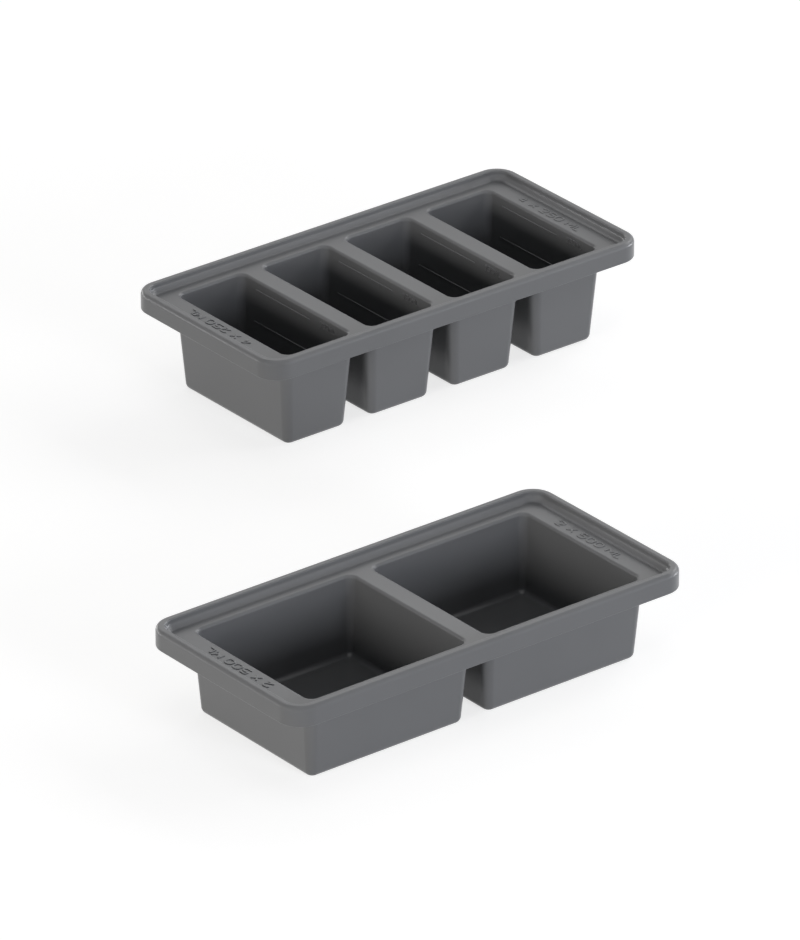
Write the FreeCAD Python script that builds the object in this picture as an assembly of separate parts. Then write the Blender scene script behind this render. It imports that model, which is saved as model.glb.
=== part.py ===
import FreeCAD, Part
import math
import os

# A set of two silicone freezer trays for portions of baby food. One tray has four pockets and the
# other has two. Both have the same rim: an upright band round the outside with a closed steel rod
# moulded into it, and a ledge set below the rim's top that joins the pockets' mouths.
# Each pocket tapers towards its foot, and its soft base is pushed up to free the frozen block.
# Frame: +Z up, X along the long side of both trays, Z = 0 on the surface that they stand on,
# origin midway between the two trays. Millimetres.

# ---- Driving dimensions ----

# Rim, the same on both trays
RIM_LENGTH = 290.0            # outside, along X
RIM_WIDTH = 141.0             # outside, along Y
RIM_CORNER = 15.2             # plan radius of the outside corners
BAND_HEIGHT = 12.6            # upright outer band
BAND_THICKNESS = 6.8          # the band below the ledge, in front of the channel behind it
BAND_TOP_ROUND = 4.0          # outer edge of the band's top
BAND_LOW_ROUND = 0.8          # outer edge of the band's foot
LAND_WIDTH = 5.5              # outer face to the inner edge of the top
LAND_ROUND = 0.9              # the top's inner edge
RECESS_RUN = 0.4              # how far the recess wall leans in on its way down
RECESS_ROUND = 4.0            # where the recess wall meets the ledge
LEDGE_DEPTH = 5.7             # ledge, below the top
LEDGE_THICKNESS = 3.0

# Steel rod in the rim
ROD_RADIUS = 1.8
ROD_INSET = 3.4               # centre line, from the rim's outer face
ROD_DEPTH = 8.2               # centre line, below the top

# Pockets, the same wall and taper on both trays
WALL = 2.6
LEAN = 0.0755                 # a wall leans out by this for each millimetre up, about 4.3 degrees
MOUTHS_LENGTH = 243.6         # first mouth's outer edge to the last one's, along X, at the ledge
MOUTH_WIDTH = 108.0           # along Y, at the ledge
DIVIDER = 14.4                # between two mouths, at the ledge
MOUTH_CORNER = 5.2            # plan radius of a mouth's corners
MOUTH_ROUND = 2.0             # rounded edge from the ledge into the mouth
FLOOR_CORNER = 3.8            # plan radius of a pocket's inner corners at its floor
FLOOR_ROUND = 3.4             # inside, wall to floor
FOOT_ROUND = 4.2              # outside, wall to foot

# Soft bases
BASE_THICKNESS = 2.2
BASE_BORDER = 9.0             # foot edge to the window that the base fills
BASE_GAP = 0.35               # round the base, where the soft floor bends
BASE_CORNER = 4.0             # plan radius of the base's corners

# The two trays: name, pockets, height, and where the centre stands
TRAY_SHIFT_X = 250.0          # from the two-pocket tray's centre to the four-pocket tray's
TRAY_SHIFT_Y = 344.0
TRAYS = (
    ("four_tray", 4, 68.6, TRAY_SHIFT_X / 2, TRAY_SHIFT_Y / 2),
    ("two_tray", 2, 58.3, -TRAY_SHIFT_X / 2, -TRAY_SHIFT_Y / 2),
)

OVERCUT = 1.0                 # how far a cutting shape runs past the face that it opens
SAME = 1e-3                   # two lengths closer than this are one length


# ---- Shapes that the pieces share ----

def rounded_rectangle(length, width, corner, z, x=0.0):
    """Level outline of a rectangle with round corners, at height z, its centre at x on the X axis."""
    corners = []
    for quarter in range(4):
        turn = math.radians(90 * quarter - 90)
        middle = turn + math.radians(45)
        centre_x = x + math.copysign(length / 2 - corner, math.cos(middle))
        centre_y = math.copysign(width / 2 - corner, math.sin(middle))
        corners.append([
            FreeCAD.Vector(centre_x + corner * math.cos(angle), centre_y + corner * math.sin(angle), z)
            for angle in (turn, middle, turn + math.radians(90))
        ])
    edges = []
    for i, (first, middle, last) in enumerate(corners):
        edges.append(Part.Arc(first, middle, last).toShape())
        edges.append(Part.makeLine(last, corners[(i + 1) % 4][0]))
    return Part.Wire(edges)


def plate(length, width, corner, z_low, z_high, x=0.0):
    """Upright prism on a rounded rectangle."""
    outline = rounded_rectangle(length, width, corner, z_low, x)
    return Part.Face(outline).extrude(FreeCAD.Vector(0, 0, z_high - z_low))


def level_edges(shape, z):
    """The shape's edges that lie level at height z."""
    return [
        edge for edge in shape.Edges
        if abs(edge.BoundBox.ZMin - z) < SAME and abs(edge.BoundBox.ZMax - z) < SAME
    ]


def inset(edge):
    """How far in from the rim's outer face an edge that follows the rim lies."""
    start = edge.Vertexes[0].Point
    return min(RIM_LENGTH / 2 - abs(start.x), RIM_WIDTH / 2 - abs(start.y))


class Tray:
    """One tray, modelled about its own centre and then moved to its place."""

    def __init__(self, name, pockets, height, x, y):
        self.name = name
        self.height = height
        self.place = FreeCAD.Vector(x, y, 0)
        self.ledge_z = height - LEDGE_DEPTH
        self.under_z = self.ledge_z - LEDGE_THICKNESS
        self.mouth_length = (MOUTHS_LENGTH - (pockets - 1) * DIVIDER) / pockets
        pitch = self.mouth_length + DIVIDER
        self.centres = [pitch * (i - (pockets - 1) / 2) for i in range(pockets)]

    def inner_size(self, z):
        """Length, width and corner radius of a pocket's cavity at height z."""
        shrink = 2 * LEAN * (self.ledge_z - z)
        share = (z - WALL) / (self.ledge_z - WALL)
        corner = FLOOR_CORNER + (MOUTH_CORNER - FLOOR_CORNER) * share
        return self.mouth_length - shrink, MOUTH_WIDTH - shrink, corner

    def outer_size(self, z):
        """Length, width and corner radius of a pocket's outside at height z."""
        length, width, corner = self.inner_size(z)
        return length + 2 * WALL, width + 2 * WALL, corner + WALL / 2

    def window_size(self):
        """Length and width of the window in a pocket's foot."""
        length, width, _ = self.outer_size(0)
        return length - 2 * BASE_BORDER, width - 2 * BASE_BORDER

    def tapered(self, size, z_low, z_high, x):
        """Solid that follows one of the pocket's tapering sections from z_low up to z_high."""
        outlines = [rounded_rectangle(*size(z), z, x) for z in (z_low, z_high)]
        return Part.makeLoft(outlines, True, True)

    def cavity(self, x):
        """The space inside a pocket, from its rounded floor to just above the ledge."""
        shape = self.tapered(self.inner_size, WALL, self.ledge_z + OVERCUT, x)
        return shape.makeFillet(FLOOR_ROUND, level_edges(shape, WALL))

    def rod(self, radius):
        """Closed loop of round rod in the middle of the band, four straights and four bends."""
        z = self.height - ROD_DEPTH
        half_x = RIM_LENGTH / 2 - RIM_CORNER
        half_y = RIM_WIDTH / 2 - RIM_CORNER
        bend = RIM_CORNER - ROD_INSET
        up = FreeCAD.Vector(0, 0, 1)
        along_x = FreeCAD.Vector(1, 0, 0)
        along_y = FreeCAD.Vector(0, 1, 0)
        pieces = []
        for side in (-1, 1):
            start = FreeCAD.Vector(-half_x, side * (half_y + bend), z)
            pieces.append(Part.makeCylinder(radius, 2 * half_x, start, along_x))
            start = FreeCAD.Vector(side * (half_x + bend), -half_y, z)
            pieces.append(Part.makeCylinder(radius, 2 * half_y, start, along_y))
        for quarter, (sx, sy) in enumerate(((1, 1), (-1, 1), (-1, -1), (1, -1))):
            turn = Part.makeTorus(bend, radius, FreeCAD.Vector(), up, 0, 360, 90)
            turn.rotate(FreeCAD.Vector(), up, 90 * quarter)
            turn.translate(FreeCAD.Vector(sx * half_x, sy * half_y, z))
            pieces.append(turn)
        return pieces[0].multiFuse(pieces[1:]).removeSplitter().Solids[0]

    def band(self):
        """The rim's outer block with its rounded edges, before the recess and the channel."""
        foot = self.height - BAND_HEIGHT
        block = plate(RIM_LENGTH, RIM_WIDTH, RIM_CORNER, foot, self.height)
        block = block.makeFillet(BAND_TOP_ROUND, level_edges(block, self.height))
        return block.makeFillet(BAND_LOW_ROUND, level_edges(block, foot))

    def recess(self):
        """The space above the ledge, inside a leaning wall that runs into the ledge in a round."""
        outlines = []
        for depth in (LEDGE_DEPTH, -OVERCUT):
            in_by = LAND_WIDTH + RECESS_RUN * depth / LEDGE_DEPTH
            outlines.append(rounded_rectangle(
                RIM_LENGTH - 2 * in_by, RIM_WIDTH - 2 * in_by, RIM_CORNER - in_by, self.height - depth))
        shape = Part.makeLoft(outlines, True, True)
        return shape.makeFillet(RECESS_ROUND, level_edges(shape, self.ledge_z))

    def channel(self):
        """The space under the ledge, behind the band."""
        return plate(RIM_LENGTH - 2 * BAND_THICKNESS, RIM_WIDTH - 2 * BAND_THICKNESS,
                     RIM_CORNER - BAND_THICKNESS, self.height - BAND_HEIGHT - OVERCUT, self.under_z)

    def rim(self):
        """Band, ledge and dividers, with a mouth over each pocket."""
        shape = self.band().cut(self.recess())
        land_edges = [
            edge for edge in level_edges(shape, self.height) if abs(inset(edge) - LAND_WIDTH) < SAME
        ]
        shape = shape.makeFillet(LAND_ROUND, land_edges).cut(self.channel())
        for x in self.centres:
            shape = shape.cut(self.tapered(
                self.inner_size, self.under_z - OVERCUT, self.ledge_z + OVERCUT, x))
        mouth_edges = [
            edge for edge in level_edges(shape, self.ledge_z)
            if abs(edge.BoundBox.Center.y) < MOUTH_WIDTH / 2 + MOUTH_ROUND
            and abs(edge.BoundBox.Center.x) < MOUTHS_LENGTH / 2 + MOUTH_ROUND
        ]
        shape = shape.makeFillet(MOUTH_ROUND, mouth_edges)
        return shape.cut(self.rod(ROD_RADIUS))

    def pocket(self, x):
        """One pocket's walls and the ring of its foot, round the window for the base."""
        shape = self.tapered(self.outer_size, 0, self.under_z, x)
        shape = shape.makeFillet(FOOT_ROUND, level_edges(shape, 0)).cut(self.cavity(x))
        length, width = self.window_size()
        return shape.cut(plate(length, width, BASE_CORNER + BASE_GAP, -OVERCUT, WALL + OVERCUT, x))

    def base(self, x):
        """The soft middle of one pocket's floor, a little above the surface below."""
        length, width = self.window_size()
        return plate(length - 2 * BASE_GAP, width - 2 * BASE_GAP, BASE_CORNER,
                     WALL - BASE_THICKNESS, WALL, x)

    def write(self, piece, shape):
        """Move a piece to the tray's place and write it under the tray's name."""
        shape = shape.Solids[0].copy()
        shape.translate(self.place)
        shape.exportStep(os.path.join("parts", f"{self.name}_{piece}.step"))
        print(f"{self.name}_{piece}: valid {shape.isValid()}, {shape.Volume / 1000:.2f} cm3")

    def build(self):
        """Write every piece of the tray."""
        self.write("rim", self.rim())
        self.write("steel_frame", self.rod(ROD_RADIUS))
        for number, x in enumerate(self.centres, start=1):
            self.write(f"pocket_{number}", self.pocket(x))
            self.write(f"base_{number}", self.base(x))


os.makedirs("parts", exist_ok=True)
for tray in TRAYS:
    Tray(*tray).build()
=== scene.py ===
"""Looks of a pair of silicone freezer trays: one with four pockets and one with two.

Each tray is one silicone moulding round a steel rod: a rim, a ledge below the rim's top, and tapering
pockets with soft bases. Lengths are in metres, +Z is up, and the frame's own solids say where
everything stands.
"""

import enum
import logging
import math
from dataclasses import dataclass, field
from typing import Iterable, Optional

import bmesh
import bpy
import numpy as np
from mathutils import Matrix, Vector


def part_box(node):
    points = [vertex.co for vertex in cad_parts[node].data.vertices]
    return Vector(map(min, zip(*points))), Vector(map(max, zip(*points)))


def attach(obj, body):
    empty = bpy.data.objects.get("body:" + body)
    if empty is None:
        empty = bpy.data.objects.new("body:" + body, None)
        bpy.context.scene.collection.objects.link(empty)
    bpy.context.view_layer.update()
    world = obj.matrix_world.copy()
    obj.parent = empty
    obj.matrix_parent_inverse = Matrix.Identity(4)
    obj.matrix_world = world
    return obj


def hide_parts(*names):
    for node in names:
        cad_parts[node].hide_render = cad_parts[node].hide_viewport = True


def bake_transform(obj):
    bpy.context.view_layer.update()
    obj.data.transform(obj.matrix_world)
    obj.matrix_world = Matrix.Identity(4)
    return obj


MM = 0.001
MERGE = 0.0005 * MM           # points of one mesh closer than this are one point
CREASE = math.radians(50)     # faces that meet at more than this show an edge
ARC_LEAST = 3                 # points in an arc, however small its turn
RIDGE_RING = 16               # points round a raised line
RIDGE_ENDS = (0.05, 0.2, 0.45, 0.75)  # extra points where a raised line closes, in half widths
LINE_STEP = 1 * MM            # largest step along a fill line
BASE_POINTS = 25              # each way across the middle of a soft base
STRIP_LENGTH_POINTS = 49      # along a strip that bends
STRIP_WIDTH_POINTS = 17       # and across it
NOISE_LOW = 0.3               # nearly all of a noise texture's values lie between these two
NOISE_HIGH = 0.7
MIX_SHARE = 0                 # a Mix node's sockets for colours: the share of the second colour,
MIX_FIRST = 6                 # the first colour,
MIX_SECOND = 7                # the second
MIX_RESULT = 2                # and, among its outputs, the result

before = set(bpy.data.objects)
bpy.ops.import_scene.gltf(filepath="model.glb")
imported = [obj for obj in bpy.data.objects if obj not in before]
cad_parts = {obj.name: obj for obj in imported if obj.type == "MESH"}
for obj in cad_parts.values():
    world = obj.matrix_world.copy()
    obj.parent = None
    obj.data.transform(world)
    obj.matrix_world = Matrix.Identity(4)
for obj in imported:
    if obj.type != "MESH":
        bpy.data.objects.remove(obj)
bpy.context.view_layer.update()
log = logging.getLogger("freezer_trays")
logging.basicConfig(level=logging.INFO, format="%(name)s: %(message)s")


# ---- Colours and shader nodes ----

def linear(hex_code: str) -> tuple[float, float, float, float]:
    """Turn an sRGB hex colour into linear RGBA, by the curve of the sRGB standard.

    Args:
        hex_code: six hex digits, such as "6a6b6d".

    Returns:
        Linear red, green and blue, and an alpha of 1.
    """
    channels = [int(hex_code[i:i + 2], 16) / 255 for i in (0, 2, 4)]
    return (*[c / 12.92 if c <= 0.04045 else ((c + 0.055) / 1.055) ** 2.4 for c in channels], 1.0)


def add_node(tree: bpy.types.NodeTree, kind: str, values: Optional[dict] = None,
             links: Optional[dict] = None, **settings: object) -> bpy.types.Node:
    """Add one shader node.

    Args:
        tree: the material's or world's node tree.
        kind: Blender's name of the node type.
        values: input name or number to the value that is set on it.
        links: input name or number to the output socket that feeds it.
        settings: the node's own properties.

    Returns:
        The node.
    """
    node = tree.nodes.new(kind)
    for name, value in settings.items():
        setattr(node, name, value)
    for name, value in (values or {}).items():
        node.inputs[name].default_value = value
    for name, socket in (links or {}).items():
        tree.links.new(socket, node.inputs[name])
    return node


def new_tree(name: str) -> tuple[bpy.types.Material, bpy.types.NodeTree]:
    """Make a node material with no nodes in it yet.

    Args:
        name: the material's name.

    Returns:
        The material and its node tree.
    """
    material = bpy.data.materials.new(name)
    material.use_nodes = True
    material.node_tree.nodes.clear()
    return material, material.node_tree


def seen_in_mirrors(tree: bpy.types.NodeTree) -> tuple[bpy.types.Node, bpy.types.NodeSocket]:
    """Tell rays that a gloss or a glass sends on from all others.

    Args:
        tree: the material's or world's node tree.

    Returns:
        A Light Path node, and a socket that is 1 for such rays and 0 for others.
    """
    path = add_node(tree, "ShaderNodeLightPath")
    either = add_node(
        tree, "ShaderNodeMath",
        links={0: path.outputs["Is Glossy Ray"], 1: path.outputs["Is Transmission Ray"]},
        operation="MAXIMUM")
    return path, either.outputs[0]


# ---- Finishes ----

@dataclass(frozen=True)
class MouldedSilicone:
    """Platinum-cured silicone rubber out of a bead-blasted steel mould.

    To the eye it is a soft, neutral dark grey with a satin bloom: faint clouding where the pigment
    is not quite even, and a very fine tooth that blurs what it reflects.
    """

    name: str = "moulded_silicone_dark_grey"
    colour: str = "67686a"
    cloud_colour: str = "6c6d6f"
    roughness: float = 0.305
    roughness_spread: float = 0.02
    ior: float = 1.41
    cloud_size: float = 45 * MM     # patches of slightly paler pigment
    grain_size: float = 0.7 * MM    # real tooth is about 0.1 mm, drawn coarser so that it shows
    grain_depth: float = 0.012 * MM
    ripple_size: float = 16 * MM    # slow unevenness of soft walls
    ripple_depth: float = 0.02 * MM

    def material(self) -> bpy.types.Material:
        """Make the material: clouded colour, and bump from grain on top of slow ripples.

        Returns:
            The material, which reads Object coordinates.
        """
        material, tree = new_tree(self.name)
        where = add_node(tree, "ShaderNodeTexCoord").outputs["Object"]
        clouds = add_node(
            tree, "ShaderNodeTexNoise",
            {"Scale": 1 / self.cloud_size, "Detail": 3.0, "Roughness": 0.55}, {"Vector": where})
        grain = add_node(
            tree, "ShaderNodeTexNoise",
            {"Scale": 1 / self.grain_size, "Detail": 2.0, "Roughness": 0.6}, {"Vector": where})
        ripple = add_node(
            tree, "ShaderNodeTexNoise",
            {"Scale": 1 / self.ripple_size, "Detail": 1.0, "Roughness": 0.4}, {"Vector": where})
        colour = add_node(
            tree, "ShaderNodeMix",
            {MIX_FIRST: linear(self.colour), MIX_SECOND: linear(self.cloud_colour)},
            {MIX_SHARE: clouds.outputs["Fac"]}, data_type="RGBA")
        rough = add_node(
            tree, "ShaderNodeMapRange",
            {"From Min": NOISE_LOW, "From Max": NOISE_HIGH,
             "To Min": self.roughness - self.roughness_spread,
             "To Max": self.roughness + self.roughness_spread},
            {"Value": clouds.outputs["Fac"]})
        slow = add_node(
            tree, "ShaderNodeBump", {"Strength": 1.0, "Distance": self.ripple_depth},
            {"Height": ripple.outputs["Fac"]})
        fine = add_node(
            tree, "ShaderNodeBump", {"Strength": 1.0, "Distance": self.grain_depth},
            {"Height": grain.outputs["Fac"], "Normal": slow.outputs["Normal"]})
        skin = add_node(
            tree, "ShaderNodeBsdfPrincipled", {"IOR": self.ior},
            {"Base Color": colour.outputs[MIX_RESULT], "Roughness": rough.outputs["Result"],
             "Normal": fine.outputs["Normal"]})
        add_node(tree, "ShaderNodeOutputMaterial", links={"Surface": skin.outputs["BSDF"]})
        return material


@dataclass(frozen=True)
class DrawnSteel:
    """Stainless steel rod as it leaves the die: a dull bright metal with fine scratches."""

    name: str = "drawn_stainless_steel_rod"
    colour: str = "b9babc"
    scratch_colour: str = "a2a3a6"
    roughness: float = 0.32
    scratch_size: float = 0.4 * MM
    scratch_depth: float = 0.01 * MM

    def material(self) -> bpy.types.Material:
        """Make the material: fine noise in the colour and the bump.

        Returns:
            The material, which reads Object coordinates.
        """
        material, tree = new_tree(self.name)
        where = add_node(tree, "ShaderNodeTexCoord").outputs["Object"]
        scratches = add_node(
            tree, "ShaderNodeTexNoise",
            {"Scale": 1 / self.scratch_size, "Detail": 3.0, "Roughness": 0.7}, {"Vector": where})
        colour = add_node(
            tree, "ShaderNodeMix",
            {MIX_FIRST: linear(self.colour), MIX_SECOND: linear(self.scratch_colour)},
            {MIX_SHARE: scratches.outputs["Fac"]}, data_type="RGBA")
        bump = add_node(
            tree, "ShaderNodeBump", {"Strength": 1.0, "Distance": self.scratch_depth},
            {"Height": scratches.outputs["Fac"]})
        metal = add_node(
            tree, "ShaderNodeBsdfPrincipled", {"Metallic": 1.0, "Roughness": self.roughness},
            {"Base Color": colour.outputs[MIX_RESULT], "Normal": bump.outputs["Normal"]})
        add_node(tree, "ShaderNodeOutputMaterial", links={"Surface": metal.outputs["BSDF"]})
        return material


# ---- Surfaces as arrays ----

def rounded_path(points: np.ndarray, radii: Iterable[float], step: float) -> np.ndarray:
    """Round the corners of an open path.

    A corner of radius r between directions a and b, which meet at angle w, becomes an arc that
    starts r / tan(w / 2) before the corner and ends as far past it. Its points are the circle's,
    turned from the first radius v0 to the last v1 by f = pi - w:
    centre + (sin((1 - s) f) v0 + sin(s f) v1) / sin(f) for s from 0 to 1.

    Args:
        points: the path's corners, (n, 2), the two ends among them.
        radii: one radius for each inner corner.
        step: largest turn between two points of an arc, in radians.

    Returns:
        The rounded path's points, (m, 2).
    """
    path = [points[:1]]
    for before, corner, after, radius in zip(points, points[1:], points[2:], radii):
        a = (before - corner) / np.linalg.norm(before - corner)
        b = (after - corner) / np.linalg.norm(after - corner)
        angle = math.acos(float(np.clip(a @ b, -1, 1)))
        turn = math.pi - angle
        reach = radius / math.tan(angle / 2)
        centre = corner + (a + b) / np.linalg.norm(a + b) * radius / math.sin(angle / 2)
        first = corner + a * reach - centre
        last = corner + b * reach - centre
        s = np.linspace(0, 1, max(ARC_LEAST, math.ceil(turn / step) + 1))[:, None]
        spoke = (np.sin((1 - s) * turn) * first + np.sin(s * turn) * last) / math.sin(turn)
        path.append(centre + spoke)
    path.append(points[-1:])
    return np.concatenate(path)


def grid_faces(rows: int, columns: int, closed: bool, first: int = 0) -> np.ndarray:
    """Number the quads of a grid of points.

    Args:
        rows: number of rings or lines of points.
        columns: points in each of them.
        closed: whether each row's last point joins its first.
        first: number of the grid's first point.

    Returns:
        The quads' corner numbers, (faces, 4).
    """
    number = first + np.arange(rows * columns).reshape(rows, columns)
    if closed:
        number = np.concatenate((number, number[:, :1]), axis=1)
    return np.stack(
        (number[:-1, :-1], number[:-1, 1:], number[1:, 1:], number[1:, :-1]), axis=-1).reshape(-1, 4)


def new_mesh(name: str, grids: Iterable[tuple[np.ndarray, bool]],
             material: bpy.types.Material) -> bpy.types.Object:
    """Make one closed mesh object of grids that meet at shared points.

    Args:
        name: the piece's name.
        grids: each (points of shape (rows, columns, 3), whether its rows are closed rings).
        material: the piece's finish.

    Returns:
        The object, its points merged and its faces turned outwards.
    """
    points, faces, count = [], [], 0
    for grid, closed in grids:
        rows, columns = grid.shape[:2]
        points.append(grid.reshape(-1, 3))
        faces.append(grid_faces(rows, columns, closed, count))
        count += rows * columns
    mesh = bpy.data.meshes.new(name)
    mesh.from_pydata(np.concatenate(points).tolist(), [], np.concatenate(faces).tolist())
    return finish_mesh(name, mesh, material)


def finish_mesh(name: str, mesh: bpy.types.Mesh, material: bpy.types.Material) -> bpy.types.Object:
    """Weld a mesh, turn its faces outwards and put it in the scene.

    Args:
        name: the piece's name.
        mesh: the mesh, in the frame's own place.
        material: the piece's finish.

    Returns:
        The object, at the origin, shaded smooth but for its creases.
    """
    shape = bmesh.new()
    shape.from_mesh(mesh)
    bmesh.ops.remove_doubles(shape, verts=shape.verts, dist=MERGE)
    bmesh.ops.dissolve_degenerate(shape, edges=shape.edges, dist=MERGE)
    bmesh.ops.recalc_face_normals(shape, faces=shape.faces)
    open_edges = sum(1 for edge in shape.edges if len(edge.link_faces) != 2)
    shape.to_mesh(mesh)
    shape.free()
    mesh.polygons.foreach_set("use_smooth", np.ones(len(mesh.polygons), bool))
    mesh.set_sharp_from_angle(angle=CREASE)
    mesh.materials.append(material)
    piece = bpy.data.objects.new(name, mesh)
    bpy.context.scene.collection.objects.link(piece)
    log.info("%s: %d faces, %d open edges", name, len(mesh.polygons), open_edges)
    return piece


def even_shading(piece: bpy.types.Object) -> bpy.types.Object:
    """Let large flat faces keep their own normal, so that small rounds do not shade across them."""
    piece.modifiers.new("even_shading", "WEIGHTED_NORMAL").keep_sharp = True
    return piece


# ---- Outlines round a pocket ----

class Corner(enum.Enum):
    """The four corners of an outline, anticlockwise from +X +Y, with their signs along X and Y."""

    RIGHT_BACK = (1, 1)
    LEFT_BACK = (-1, 1)
    LEFT_FRONT = (-1, -1)
    RIGHT_FRONT = (1, -1)

    def place(self, path: np.ndarray) -> np.ndarray:
        """Mirror a +X +Y corner's path, (n, 2), into this corner and keep it anticlockwise."""
        sx, sy = self.value
        return (path if sx * sy > 0 else path[::-1]) * np.array((sx, sy))


@dataclass(frozen=True)
class OutlinePlan:
    """How many steps an outline round a pocket takes, the same at every height."""

    corner: int = 32              # steps in each corner, an even number
    rim_before: int = 4           # of them, straight steps before the rim's own corner
    rim_after: int = 8            # and after it
    side_x: int = 8               # steps along a side that runs along X
    side_y: int = 14

    def close(self, corners: Iterable[np.ndarray]) -> np.ndarray:
        """Join four corner paths with straight sides into one ring.

        A side's point k of n is (1 - k / n) times the corner's last point plus k / n times the
        next corner's first point.

        Args:
            corners: the paths of Corner's four members in order, each (corner + 1, 2).

        Returns:
            The ring's points, (m, 2), its first point not repeated.
        """
        paths = list(corners)
        ring = []
        for i, path in enumerate(paths):
            steps = self.side_x if i % 2 == 0 else self.side_y
            share = (np.arange(1, steps) / steps)[:, None]
            ring += [path, path[-1] * (1 - share) + paths[(i + 1) % 4][0] * share]
        return np.concatenate(ring)

    def rounded(self, half: np.ndarray, radius: float) -> np.ndarray:
        """Ring of a rectangle with arcs of one radius at its corners.

        An arc's point at angle t is the half sizes less the radius, plus the radius times
        (cos t, sin t).

        Args:
            half: the rectangle's half sizes, (2,).
            radius: of its corners.

        Returns:
            The ring's points, (m, 2).
        """
        angle = np.linspace(0, math.pi / 2, self.corner + 1)
        arc = half - radius + radius * np.stack((np.cos(angle), np.sin(angle)), axis=1)
        return self.close(corner.place(arc) for corner in Corner)

    def square(self, half: np.ndarray, reach: float) -> np.ndarray:
        """Ring of a rectangle with sharp corners, whose corner steps cover `reach` of each side."""
        return self.close(corner.place(self.elbow(half, half - reach)) for corner in Corner)

    def elbow(self, tip: np.ndarray, start: np.ndarray) -> np.ndarray:
        """Path of a sharp corner: from (tip x, start y) up to the tip and on to (start x, tip y).

        Args:
            tip: the corner, (2,).
            start: how far along X and Y its path begins and ends, (2,).

        Returns:
            The path's points, (corner + 1, 2).
        """
        share = np.linspace(0, 1, self.corner // 2 + 1)[:, None]
        up = np.array((tip[0], start[1])) * (1 - share) + tip * share
        across = tip * (1 - share) + np.array((start[0], tip[1])) * share
        return np.concatenate((up, across[1:]))

    def rim_end(self, tip: np.ndarray, start: np.ndarray, radius: float) -> np.ndarray:
        """The same path with the rim's own round corner in place of the sharp one.

        Args:
            tip: where the sharp corner would be, (2,).
            start: how far along X and Y the path begins and ends, (2,).
            radius: of the rim's corner there.

        Returns:
            The path's points, (corner + 1, 2).
        """
        centre = tip - radius
        before = np.linspace(0, 1, self.rim_before + 1)[:-1, None]
        after = np.linspace(0, 1, self.rim_after + 1)[1:, None]
        angle = np.linspace(0, math.pi / 2, self.corner + 1 - self.rim_before - self.rim_after)
        arc = centre + radius * np.stack((np.cos(angle), np.sin(angle)), axis=1)
        low = np.array((tip[0], start[1]))
        high = np.array((start[0], tip[1]))
        return np.concatenate((low * (1 - before) + arc[0] * before, arc,
                               arc[-1] * (1 - after) + high * after))


# ---- Raised lines and letters ----

@dataclass(frozen=True)
class RidgeSection:
    """Cross-section of a raised line, whose lower half is sunk in the surface."""

    half_width: float
    proud: float
    roundness: float = 1.0        # 1 is an ellipse, and less is a flatter top with steeper sides


def resample(path: np.ndarray, step: float, section: RidgeSection) -> np.ndarray:
    """Spread points evenly along a path, with a few more where a ridge's ends close.

    Args:
        path: corners of the path, (n, dimensions).
        step: largest distance between two points.
        section: the ridge's cross-section, whose half width is the length of its ends.

    Returns:
        The points, (m, dimensions).
    """
    lengths = np.concatenate(((0,), np.cumsum(np.linalg.norm(np.diff(path, axis=0), axis=1))))
    total = lengths[-1]
    close = section.half_width * np.array(RIDGE_ENDS)
    places = np.linspace(0, total, math.ceil(total / step) + 1)
    places = np.unique(np.concatenate((places, close, total - close)))
    return np.stack([np.interp(places, lengths, column) for column in path.T], axis=1)


def ridge(line: np.ndarray, across: np.ndarray, out: np.ndarray, section: RidgeSection) -> np.ndarray:
    """Grid of a ridge along a line.

    At angle t its section lies c |c|^(p - 1) w across and s |s|^(p - 1) h out, with c and s the
    cosine and sine of t, w the half width, h the height and p the roundness. Over the last half
    width of the line the section shrinks to a point as a circle's chord does.

    Args:
        line: points of the line, (n, 3).
        across: direction across it, of length 1, (3,) or (n, 3).
        out: direction out of the surface, of length 1, (3,).
        section: the ridge's cross-section.

    Returns:
        The points, (n, RIDGE_RING, 3), each row a closed ring.
    """
    lengths = np.concatenate(((0,), np.cumsum(np.linalg.norm(np.diff(line, axis=0), axis=1))))
    from_end = np.minimum(lengths, lengths[-1] - lengths).clip(0, section.half_width)
    size = np.sqrt(1 - (1 - from_end / section.half_width) ** 2)[:, None, None]
    angle = np.linspace(0, 2 * math.pi, RIDGE_RING + 1)[:-1]
    wave = np.stack((np.cos(angle), np.sin(angle)))
    reach = np.array(((section.half_width,), (section.proud,)))
    wide, high = np.sign(wave) * np.abs(wave) ** section.roundness * reach
    across = np.broadcast_to(across, line.shape)[:, None]
    return line[:, None] + size * (wide[:, None] * across + high[:, None] * out)


@dataclass(frozen=True)
class Glyph:
    """A plain letter of round-ended strokes. Its unit is the height of a capital.

    A stroke is its corners, and a radius for each corner but its two ends.
    """

    width: float
    strokes: tuple[tuple[tuple[tuple[float, float], ...], tuple[float, ...]], ...] = ()


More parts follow.
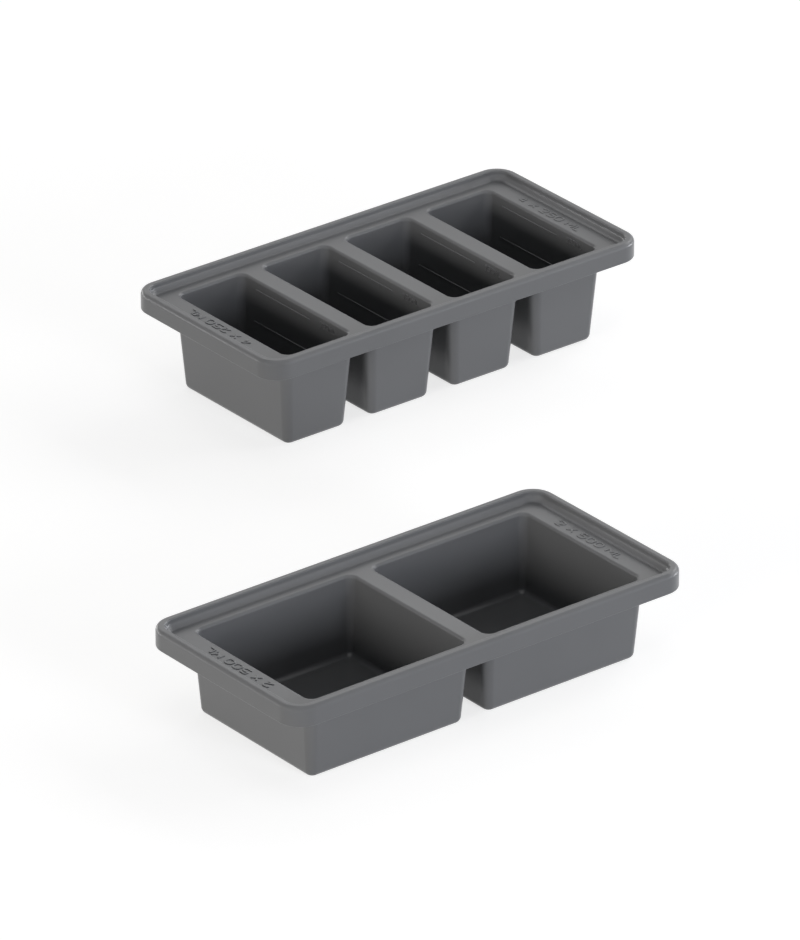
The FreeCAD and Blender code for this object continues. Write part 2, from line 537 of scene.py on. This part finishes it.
GLYPHS = {
    " ": Glyph(0.1),
    "0": Glyph(0.74, ((((0.3, 0), (0, 0), (0, 1), (0.74, 1), (0.74, 0), (0.2, 0)), (0.3,) * 4),)),
    "2": Glyph(0.72, ((((0, 0.72), (0, 1), (0.72, 1), (0.72, 0.5), (0, 0), (0.72, 0)),
                       (0.27, 0.27, 0.3, 0.03)),)),
    "4": Glyph(0.76, ((((0.56, 0), (0.56, 1), (0, 0.28), (0.76, 0.28)), (0.03, 0.03)),)),
    "5": Glyph(0.72, ((((0.68, 1), (0.05, 1), (0, 0.56), (0.72, 0.62), (0.72, 0), (0, 0), (0, 0.12)),
                       (0.03, 0.03, 0.28, 0.28, 0.1)),)),
    "X": Glyph(0.76, ((((0, 0), (0.76, 1)), ()), (((0, 1), (0.76, 0)), ()))),
    "M": Glyph(0.88, ((((0, 0), (0, 1), (0.44, 0.35), (0.88, 1), (0.88, 0)), (0.03, 0.03, 0.03)),)),
    "L": Glyph(0.62, ((((0, 1), (0, 0), (0.62, 0)), (0.03,)),)),
}


@dataclass(frozen=True)
class Lettering:
    """A line of raised letters."""

    height: float                  # of a capital
    length: float                  # of the whole line
    section: RidgeSection
    gap: float = 0.32              # between two letters, in capital heights
    steps: int = 30                # along a stroke, for each capital height
    arc_step: float = math.radians(12)

    def ridges(self, words: str, origin: np.ndarray, right: np.ndarray, up: np.ndarray
               ) -> list[np.ndarray]:
        """Work out the letters' ridges.

        Args:
            words: what the letters say.
            origin: the line's middle, on the surface.
            right: direction in which they read, of length 1.
            up: direction of their tops, of length 1.

        Returns:
            One grid for each stroke.
        """
        glyphs = [GLYPHS[letter] for letter in words]
        ends = np.cumsum([glyph.width + self.gap for glyph in glyphs])
        total = ends[-1] - self.gap
        middle = np.array((total, 1)) / 2
        scale = (np.array((self.length, self.height)) - 2 * self.section.half_width) / (total, 1)
        axes = np.array((right, up))
        grids = []
        for glyph, end in zip(glyphs, ends):
            start = (end - glyph.width - self.gap, 0)
            for corners, radii in glyph.strokes:
                path = rounded_path(np.array(corners, float), radii, self.arc_step)
                path = (path + start - middle) * scale
                line = resample(path, self.height / self.steps, self.section)
                slope = np.gradient(line, axis=0)
                across = np.stack((-slope[:, 1], slope[:, 0]), axis=1)
                across /= np.linalg.norm(across, axis=1)[:, None]
                out = np.cross(right, up)
                grids.append(ridge(line @ axes + origin, across @ axes, out, self.section))
        return grids


# ---- The moulding ----

@dataclass(frozen=True)
class RimSection:
    """Cross-section of the rim. Insets are from its outer face, depths from its top."""

    corner: float = 15.2 * MM
    top_round: float = 3.0 * MM
    land: float = 5.5 * MM         # inset of the top's inner edge, before its round
    land_round: float = 0.9 * MM
    recess_run: float = 0.4 * MM   # how far the recess wall leans in on its way down
    recess_round: float = 4.0 * MM
    ledge_depth: float = 5.7 * MM
    ledge_thickness: float = 3.0 * MM
    ledge_inset: float = 10.2 * MM  # where the ledge is flat on both sides
    band_depth: float = 12.6 * MM
    band_thickness: float = 6.8 * MM
    low_round: float = 0.8 * MM
    channel_round: float = 1.2 * MM
    arc_step: float = math.radians(9)

    def path(self) -> np.ndarray:
        """Work out the section's line, from the ledge's top out over the band and in under the ledge.

        Returns:
            Points of (inset, depth), (n, 2).
        """
        under = self.ledge_depth + self.ledge_thickness
        points = np.array((
            (self.ledge_inset, self.ledge_depth), (self.land + self.recess_run, self.ledge_depth),
            (self.land, 0), (0, 0), (0, self.band_depth), (self.band_thickness, self.band_depth),
            (self.band_thickness, under), (self.ledge_inset, under)))
        radii = (self.recess_round, self.land_round, self.top_round, self.low_round, self.low_round,
                 self.channel_round)
        return rounded_path(points, radii, self.arc_step)


@dataclass(frozen=True)
class PocketSection:
    """Cross-section of a pocket's wall and foot, measured from its mouth and its foot."""

    wall: float = 2.6 * MM
    lean: float = 0.0755           # outwards for each metre up
    mouth_corner: float = 5.2 * MM
    mouth_round: float = 2.0 * MM
    floor_corner: float = 3.8 * MM
    floor_round: float = 3.4 * MM
    foot_round: float = 4.2 * MM
    under_round: float = 1.6 * MM  # where the wall hangs from the ledge
    corner_gain: float = 0.5       # a corner grows by this share of the wall's thickness outside
    mouth_border: float = 0.8 * MM  # flat ledge between the mouth's round and the ledge's own grid
    arc_step: float = math.radians(8)

    def path(self, ledge: float, under: float, ledge_edge: float, window: float) -> np.ndarray:
        """Points of (offset, height), from the ledge in over the mouth, down, and up outside.

        Args:
            ledge: height of the ledge's top.
            under: height of its underside.
            ledge_edge: offset at which the path starts and ends, on the ledge.
            window: offset of the edge of the soft base, where the path passes through the floor.

        Returns:
            The path down to the floor's window and the path from there up, (n, 2) and (m, 2).
        """
        def inside(height: float) -> float:
            """Offset of the wall's inner face at a height."""
            return -self.lean * (ledge - height)

        inner = np.array((
            (ledge_edge, ledge), (0, ledge), (inside(self.wall), self.wall), (window, self.wall)))
        outer = np.array((
            (window, 0), (inside(0) + self.wall, 0), (inside(under) + self.wall, under),
            (ledge_edge, under)))
        return (rounded_path(inner, (self.mouth_round, self.floor_round), self.arc_step),
                rounded_path(outer, (self.foot_round, self.under_round), self.arc_step))

    def corner(self, offset: np.ndarray, height: np.ndarray, ledge: float, outside: bool) -> np.ndarray:
        """Radius of a pocket's corners in plan.

        It goes evenly from the floor's to the mouth's along the wall, and off the wall it grows
        or shrinks by as much as the outline stands out from the wall or in.

        Args:
            offset: how far each outline stands out from the mouth's nominal edge.
            height: each outline's height.
            ledge: height of the ledge's top.
            outside: whether the outlines are on the wall's outer face.

        Returns:
            One radius for each outline.
        """
        share = (height - self.wall) / (ledge - self.wall)
        radius = self.floor_corner + (self.mouth_corner - self.floor_corner) * share
        face = -self.lean * (ledge - height)
        if outside:
            radius = radius + self.corner_gain * self.wall
            face = face + self.wall
        return radius + offset - face


@dataclass
class Tray:
    """One tray: its moulding, its soft bases, its fill lines and its capacity marks."""

    body: str                      # the frame's body, and the start of its nodes' names
    bases: str                     # start of the names of the bases' bodies
    pockets: int
    silicone: bpy.types.Material
    give: float                    # width of the floor that bends round a pushed base
    capacity: str                  # moulded on the ledge at both ends
    fill_heights: tuple[float, ...] = ()
    fill_mark: str = ""
    rim: RimSection = field(default_factory=RimSection)
    pocket: PocketSection = field(default_factory=PocketSection)
    plan: OutlinePlan = field(default_factory=OutlinePlan)
    fill_span: tuple[float, float] = (-14.0 * MM, 39.9 * MM)  # a line's ends along Y
    fill_line: RidgeSection = RidgeSection(0.45 * MM, 0.42 * MM)
    ledge_words: Lettering = Lettering(6.4 * MM, 60 * MM, RidgeSection(0.62 * MM, 0.4 * MM, 0.3))
    wall_words: Lettering = Lettering(3.8 * MM, 15.8 * MM, RidgeSection(0.32 * MM, 0.5 * MM, 0.5))
    ledge_words_y: float = 2 * MM  # middle of the words on the ledge, from the tray's middle
    wall_words_y: float = -31.2 * MM  # and of those on a wall
    wall_words_rise: float = 0.8 * MM  # their middle, above their fill line

    def __post_init__(self) -> None:
        """Read the tray's place and sizes off the frame's solids."""
        low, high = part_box(f"{self.body}_rim")
        self.centre = np.array(((low.x + high.x) / 2, (low.y + high.y) / 2))
        self.half = np.array(((high.x - low.x) / 2, (high.y - low.y) / 2))
        self.top = high.z
        self.ledge = self.top - self.rim.ledge_depth
        self.under = self.ledge - self.rim.ledge_thickness
        boxes = [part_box(f"{self.body}_pocket_{n}") for n in range(1, self.pockets + 1)]
        self.middles = [(low.x + high.x) / 2 - self.centre[0] for low, high in boxes]
        low, high = boxes[0]
        wall_top = self.pocket.wall - self.pocket.lean * self.rim.ledge_thickness
        self.mouth = np.array(((high.x - low.x) / 2, (high.y - low.y) / 2)) - wall_top
        self.pitch = self.middles[1] - self.middles[0]
        low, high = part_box(f"{self.body}_base_1")
        self.base_low = low.z
        self.base_half = np.array(((high.x - low.x) / 2, (high.y - low.y) / 2))

    # -- moulding --

    def cell(self, number: int) -> np.ndarray:
        """Outline of one pocket's share of the ledge, (m, 2) about the pocket's middle.

        Its sides are the middles of the dividers and, at the tray's edge, the line where the
        ledge runs into the rim.

        Args:
            number: the pocket's, from 0 on the -X side.

        Returns:
            The outline's points, anticlockwise.
        """
        reach = self.half - self.rim.ledge_inset
        start = self.mouth - self.pocket.mouth_corner
        middle = self.middles[number]
        paths = []
        for corner in Corner:
            side = corner.value[0]
            if number == (self.pockets - 1 if side > 0 else 0):
                tip = np.array((reach[0] - side * middle, reach[1]))
                path = self.plan.rim_end(tip, start, self.rim.corner - self.rim.ledge_inset)
            else:
                path = self.plan.elbow(np.array((self.pitch / 2, reach[1])), start)
            paths.append(corner.place(path))
        return self.plan.close(paths)

    def pocket_grid(self, number: int) -> np.ndarray:
        """Rings of one pocket, (rings, m, 3).

        They run from the ledge over the mouth, down the inner wall, through the floor's window,
        round the foot and up the outer wall to the ledge's underside.
        Ring k is a rounded rectangle whose half sizes are the mouth's plus the section's offset k,
        at the section's height k.

        Args:
            number: the pocket's, from 0 on the -X side.

        Returns:
            The grid, its rings closed and anticlockwise.
        """
        window = self.base_half - self.mouth
        inner, outer = self.pocket.path(
            self.ledge, self.under, self.pocket.mouth_round + self.pocket.mouth_border,
            float(window[0]))
        cell = self.cell(number)
        rings = [(cell, self.ledge)]
        for path, outside in ((inner, False), (outer, True)):
            radii = self.pocket.corner(path[:, 0], path[:, 1], self.ledge, outside)
            for (offset, height), radius in zip(path, radii):
                if abs(offset - window[0]) < MERGE:
                    ring = self.plan.square(self.base_half, self.base_half.min() / 2)
                else:
                    ring = self.plan.rounded(self.mouth + offset, radius)
                rings.append((ring, height))
        rings.append((cell, self.under))
        flat = np.stack([ring for ring, _ in rings]) + self.centre + (self.middles[number], 0)
        heights = np.array([height for _, height in rings])
        return np.concatenate(
            (flat, np.broadcast_to(heights[:, None, None], flat.shape[:2] + (1,))), axis=2)

    def rim_grid(self, pockets: Iterable[np.ndarray]) -> np.ndarray:
        """Rings of the rim, (rings, m, 3).

        The pockets' shares of the ledge end on one line round the tray. Each of its points lies at
        c + r n, where c is the nearest point of the rectangle through the corners' centres and n
        points away from it. A section point at inset i then gives c + (R - i) n, with R the
        rim's outer radius.

        Args:
            pockets: the pockets' grids, whose first rings hold that line.

        Returns:
            The grid, its rings closed and anticlockwise.
        """
        radius = self.rim.corner - self.rim.ledge_inset
        core = self.half - self.rim.corner
        edge = np.concatenate([grid[0, :, :2] for grid in pockets]) - self.centre
        away = edge - np.clip(edge, -core, core)
        edge = edge[np.abs(np.linalg.norm(away, axis=1) - radius) < MERGE]
        _, first = np.unique(np.round(edge / MERGE), axis=0, return_index=True)
        edge = edge[first]
        edge = edge[np.argsort(np.arctan2(edge[:, 1], edge[:, 0]))]
        nearest = np.clip(edge, -core, core)
        normal = (edge - nearest) / radius
        path = self.rim.path()
        flat = nearest + normal * (self.rim.corner - path[:, 0])[:, None, None] + self.centre
        heights = np.broadcast_to((self.top - path[:, 1])[:, None, None], flat.shape[:2] + (1,))
        return np.concatenate((flat, heights), axis=2)

    def build_moulding(self) -> None:
        """Build the rim, ledge and pockets as one closed skin, with a window through each floor."""
        pockets = [self.pocket_grid(number) for number in range(self.pockets)]
        grids = [(grid, True) for grid in (*pockets, self.rim_grid(pockets))]
        piece = even_shading(new_mesh(f"{self.body}_moulding", grids, self.silicone))
        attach(piece, self.body)
        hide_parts(f"{self.body}_rim",
                    *[f"{self.body}_pocket_{n}" for n in range(1, self.pockets + 1)])

    # -- soft bases --

    def block(self, name: str, low: np.ndarray, high: np.ndarray) -> bpy.types.Object:
        """Close a pair of grids, the lower and the upper skin of one sheet, with a wall between.

        Args:
            name: the piece's name.
            low: lower skin, (rows, columns, 3).
            high: upper skin, the same shape.

        Returns:
            The closed piece.
        """
        edges = [np.stack((low[rows, columns], high[rows, columns])) for rows, columns in (
            (0, slice(None)), (-1, slice(None)), (slice(None), 0), (slice(None), -1))]
        return new_mesh(name, [(grid, False) for grid in (low, high, *edges)], self.silicone)

    def build_base(self, number: int) -> None:
        """Build one pocket's soft base: the middle, which goes with the base's own body, and four
        strips round it.

        A strip runs from the edge of the window in by `give`, with mitred ends, so that point
        (u, v) lies at v * give in from the edge and at u times the strip's half length there.

        Args:
            number: the pocket's, from 0 on the -X side.
        """
        middle = self.centre + (self.middles[number], 0)
        inner = self.base_half - self.give
        base = f"{self.bases}_base_{number + 1}"
        u = np.linspace(-1, 1, BASE_POINTS)
        x, y = np.meshgrid(u * inner[0], u * inner[1])
        flat = np.stack((middle[0] + x, middle[1] + y), axis=-1)
        skins = [np.concatenate((flat, np.full(x.shape + (1,), height)), axis=2)
                 for height in (self.base_low, self.pocket.wall)]
        piece = self.block(f"{base}_middle", *skins)
        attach(piece, base)
        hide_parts(f"{self.body}_base_{number + 1}")
        u, v = np.meshgrid(
            np.linspace(-1, 1, STRIP_LENGTH_POINTS), np.linspace(0, 1, STRIP_WIDTH_POINTS))
        for axis, sign, side in ((0, -1, "left"), (0, 1, "right"), (1, -1, "front"), (1, 1, "back")):
            across = np.empty(u.shape + (2,))
            across[..., axis] = sign * (self.base_half[axis] - v * self.give)
            across[..., 1 - axis] = u * (self.base_half[1 - axis] - v * self.give)
            flat = across + middle
            skins = [np.concatenate((flat, height[..., None]), axis=2)
                     for height in (v * self.base_low, np.full(u.shape, self.pocket.wall))]
            piece = self.block(f"{base}_{side}", *skins)
            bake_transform(piece)

    # -- moulded lines and marks --

    def wall_x(self, number: int, height: float) -> float:
        """Where a pocket's inner wall on the +X side stands at a height."""
        lean = self.pocket.lean * (self.ledge - height)
        return self.centre[0] + self.middles[number] + self.mouth[0] - lean

    def raise_ridges(self, name: str, ridges: Iterable[np.ndarray]) -> None:
        """Make one piece of ridges that stand on the moulding.

        Args:
            name: the piece's name.
            ridges: the grid of each ridge.
        """
        piece = new_mesh(name, [(grid, True) for grid in ridges], self.silicone)
        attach(piece, self.body)

    def build_fill_line(self, number: int, height: float, level: int) -> None:
        """Build one raised line on a pocket's +X wall.

        Args:
            number: the pocket's, from 0 on the -X side.
            height: the line's, above the floor.
            level: the line's number in its pocket, from 1.
        """
        along = self.centre[1] + np.array(self.fill_span)
        ends = np.array([(self.wall_x(number, height), y, height) for y in along])
        up, out = self.wall_axes()
        self.raise_ridges(f"{self.body}_fill_line_{number + 1}_{level}",
                          [ridge(resample(ends, LINE_STEP, self.fill_line), up, out, self.fill_line)])

    def wall_axes(self) -> tuple[np.ndarray, np.ndarray]:
        """Directions up a pocket's +X wall and out of it, each of length 1."""
        up = np.array((self.pocket.lean, 0, 1)) / math.hypot(self.pocket.lean, 1)
        return up, np.cross((0, -1, 0), up)

    def build_marks(self) -> None:
        """Build the capacity on the ledge at both ends, and what each fill line stands for."""
        ledge_middle = (self.mouth[0] + self.pitch * (self.pockets - 1) / 2
                        + self.pocket.mouth_round + self.half[0] - self.rim.ledge_inset) / 2
        for side, end in ((-1, "left"), (1, "right")):
            origin = np.array((self.centre[0] + side * ledge_middle,
                               self.centre[1] + self.ledge_words_y, self.ledge))
            self.raise_ridges(f"{self.body}_capacity_{end}", self.ledge_words.ridges(
                self.capacity, origin, np.array((0, -side, 0)), np.array((side, 0, 0))))
        if not self.fill_mark:
            return
        height = self.fill_heights[0] + self.wall_words_rise
        up, _ = self.wall_axes()
        for number in range(self.pockets):
            origin = np.array((self.wall_x(number, height),
                               self.centre[1] + self.wall_words_y, height))
            self.raise_ridges(f"{self.body}_fill_mark_{number + 1}", self.wall_words.ridges(
                self.fill_mark, origin, np.array((0, -1, 0)), up))

    def build(self) -> None:
        """Build every piece of the tray."""
        self.build_moulding()
        for number in range(self.pockets):
            self.build_base(number)
            for level, height in enumerate(self.fill_heights, start=1):
                self.build_fill_line(number, height, level)
        self.build_marks()


# ---- Studio ----

@dataclass(frozen=True)
class Softbox:
    """A rectangular studio lamp that faces the trays."""

    name: str
    turn: float                    # degrees round from the camera, positive to its right
    rise: float                    # degrees above the floor
    width: float
    height: float
    watts: float
    colour: str = "ffffff"
    mirrored: bool = True          # otherwise the white walls stand in for it in reflections
    distance: float = 2.6


WARM = "fffcf6"                # the lamps' tints
COOL = "f6f9ff"
FAINTLY_COOL = "f9fbff"


@dataclass(frozen=True)
class Studio:
    """White floor, soft side light and a long lens."""

    turn: float = -38.398          # camera, degrees round from looking along +Y
    rise: float = 26.589           # camera, degrees above the floor
    distance: float = 6.3025
    target: tuple[float, float, float] = (26.39 * MM, 36.43 * MM, 10.34 * MM)
    sensor: float = 36.0           # its width, which Blender takes in millimetres
    focal_pixels: float = 10484.6  # focal length over the width of one of the frame's pixels
    frame_height: int = 940        # pixels, the long side, which the sensor's width spans
    far: float = 100.0             # the camera sees this far
    floor_size: float = 14.0
    paper: str = "b8b8b8"          # the floor's own colour
    floor_glow: float = 0.74       # what it adds where it is seen, so that it looks white
    wall_rise: float = 25.0        # the white walls end here, in degrees above the floor
    ceiling_rise: float = 42.0     # and the dimmer ceiling starts here
    ceiling: float = 0.85          # its brightness, with the walls' at 1
    lamps: tuple[Softbox, ...] = (
        Softbox("left_key", -53, 13, 1.4, 0.5, 8.5, WARM, mirrored=False),
        Softbox("left_front", -38, 10, 0.9, 0.9, 25, WARM, mirrored=False),
        Softbox("left_strip", -95, 4, 1.4, 0.34, 4),
        Softbox("left_back", -125, 4, 2.6, 0.34, 18),
        Softbox("right_front", 38, 13, 0.6, 0.6, 24, COOL, mirrored=False),
        Softbox("right_high", 38, 22, 0.9, 0.9, 3.6, COOL, mirrored=False),
        Softbox("right_line", 76, 10, 0.25, 0.9, 3.5, FAINTLY_COOL),
        Softbox("right_strip", 105, 4, 1.4, 0.34, 28, FAINTLY_COOL),
        Softbox("back_right", 125, 34, 2.6, 0.9, 21),
        Softbox("back", 180, 40, 3.0, 1.2, 13),
        Softbox("top", 0, 85, 1.5, 1.5, 7.2),
    )

    def towards(self, turn: float, rise: float) -> Vector:
        """Unit vector from the target to a place at these angles, in degrees."""
        a, e = math.radians(turn), math.radians(rise)
        return Vector((math.sin(a) * math.cos(e), -math.cos(a) * math.cos(e), math.sin(e)))

    def place(self, thing: bpy.types.Object, turn: float, rise: float, distance: float) -> None:
        """Put a camera or lamp at these angles and turn it to the target.

        Args:
            thing: the camera or lamp.
            turn: degrees round from looking along +Y.
            rise: degrees above the floor.
            distance: from the target.
        """
        way = self.towards(turn, rise)
        thing.location = Vector(self.target) + way * distance
        thing.rotation_euler = way.to_track_quat("Z", "Y").to_euler()
        bpy.context.scene.collection.objects.link(thing)

    def build_camera(self) -> None:
        """Make the camera and choose it."""
        data = bpy.data.cameras.new("camera")
        data.sensor_width = self.sensor
        data.lens = self.focal_pixels * self.sensor / self.frame_height
        data.clip_end = self.far
        camera = bpy.data.objects.new("camera", data)
        self.place(camera, self.turn, self.rise, self.distance)
        bpy.context.scene.camera = camera

    def build_lamps(self) -> None:
        """Make the softboxes."""
        for lamp in self.lamps:
            data = bpy.data.lights.new(lamp.name, "AREA")
            data.shape = "RECTANGLE"
            data.size = lamp.width
            data.size_y = lamp.height
            data.energy = lamp.watts
            data.color = linear(lamp.colour)[:3]
            light = bpy.data.objects.new(lamp.name, data)
            light.visible_camera = False
            light.visible_glossy = lamp.mirrored
            self.place(light, self.turn + lamp.turn, lamp.rise, lamp.distance)

    def build_world(self) -> None:
        """Make a world that looks white and lights nothing but what mirrors it.

        Camera rays see white everywhere. Reflections see a white room whose walls give way to a
        dimmer ceiling, evenly by the sine of the height, between wall_rise and ceiling_rise.
        """
        world = bpy.data.worlds.new("white_studio")
        bpy.context.scene.world = world
        world.use_nodes = True
        tree = world.node_tree
        tree.nodes.clear()
        path, mirrored = seen_in_mirrors(tree)
        way = add_node(tree, "ShaderNodeTexCoord").outputs["Generated"]
        height = add_node(tree, "ShaderNodeSeparateXYZ", links={0: way}).outputs["Z"]
        room = add_node(
            tree, "ShaderNodeMapRange",
            {"From Min": math.sin(math.radians(self.wall_rise)),
             "From Max": math.sin(math.radians(self.ceiling_rise)),
             "To Min": 1.0, "To Max": self.ceiling},
            {"Value": height})
        seen = add_node(
            tree, "ShaderNodeMath", links={0: mirrored, 1: room.outputs["Result"]},
            operation="MULTIPLY")
        level = add_node(
            tree, "ShaderNodeMath", links={0: seen.outputs[0], 1: path.outputs["Is Camera Ray"]},
            operation="MAXIMUM")
        light = add_node(
            tree, "ShaderNodeBackground", {"Color": linear("ffffff")}, {"Strength": level.outputs[0]})
        add_node(tree, "ShaderNodeOutputWorld", links={"Surface": light.outputs["Background"]})

    def build_floor(self) -> None:
        """Make the floor: matt grey paper that glows where it is seen.

        The paper's lit colour and the glow add up to white for the camera and in reflections,
        and the trays' shadow takes away a little of the first. The glow casts no light.
        """
        half = self.floor_size / 2
        mesh = bpy.data.meshes.new("floor")
        corners = [(sx * half, sy * half, 0) for sx, sy in (corner.value for corner in Corner)]
        mesh.from_pydata(corners, [], [range(len(corners))])
        material, tree = new_tree("white_paper")
        paper = add_node(tree, "ShaderNodeBsdfDiffuse", {"Color": linear(self.paper)})
        path, mirrored = seen_in_mirrors(tree)
        seen = add_node(
            tree, "ShaderNodeMath", links={0: mirrored, 1: path.outputs["Is Camera Ray"]},
            operation="MAXIMUM")
        glow = add_node(
            tree, "ShaderNodeMath", {1: self.floor_glow}, {0: seen.outputs[0]}, operation="MULTIPLY")
        white = add_node(
            tree, "ShaderNodeEmission", {"Color": linear("ffffff")}, {"Strength": glow.outputs[0]})
        both = add_node(
            tree, "ShaderNodeAddShader", links={0: paper.outputs[0], 1: white.outputs[0]})
        add_node(tree, "ShaderNodeOutputMaterial", links={"Surface": both.outputs[0]})
        mesh.materials.append(material)
        floor = bpy.data.objects.new("floor", mesh)
        bpy.context.scene.collection.objects.link(floor)

    def build(self) -> None:
        """Build the whole studio."""
        self.build_camera()
        self.build_lamps()
        self.build_world()
        self.build_floor()
        bpy.context.scene.view_settings.view_transform = "Standard"


def dress_rods(steel: bpy.types.Material) -> None:
    """Give the steel rods inside the rims their finish.

    Args:
        steel: the rods' material.
    """
    for body in ("four_tray", "two_tray"):
        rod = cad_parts[f"{body}_steel_frame"]
        rod.data.materials.clear()
        rod.data.materials.append(steel)
        log.info("%s: dressed", rod.name)


def main() -> None:
    """Build both trays and the studio; each new piece's faces and open edges go to the log."""
    silicone = MouldedSilicone().material()
    Tray("four_tray", "four", 4, silicone, give=8 * MM, capacity="4 X 250 ML",
         fill_heights=(56.7 * MM, 36.0 * MM), fill_mark="250ML").build()
    Tray("two_tray", "two", 2, silicone, give=18 * MM, capacity="2 X 500 ML").build()
    dress_rods(DrawnSteel().material())
    Studio().build()


if __name__ == "__main__":
    main()
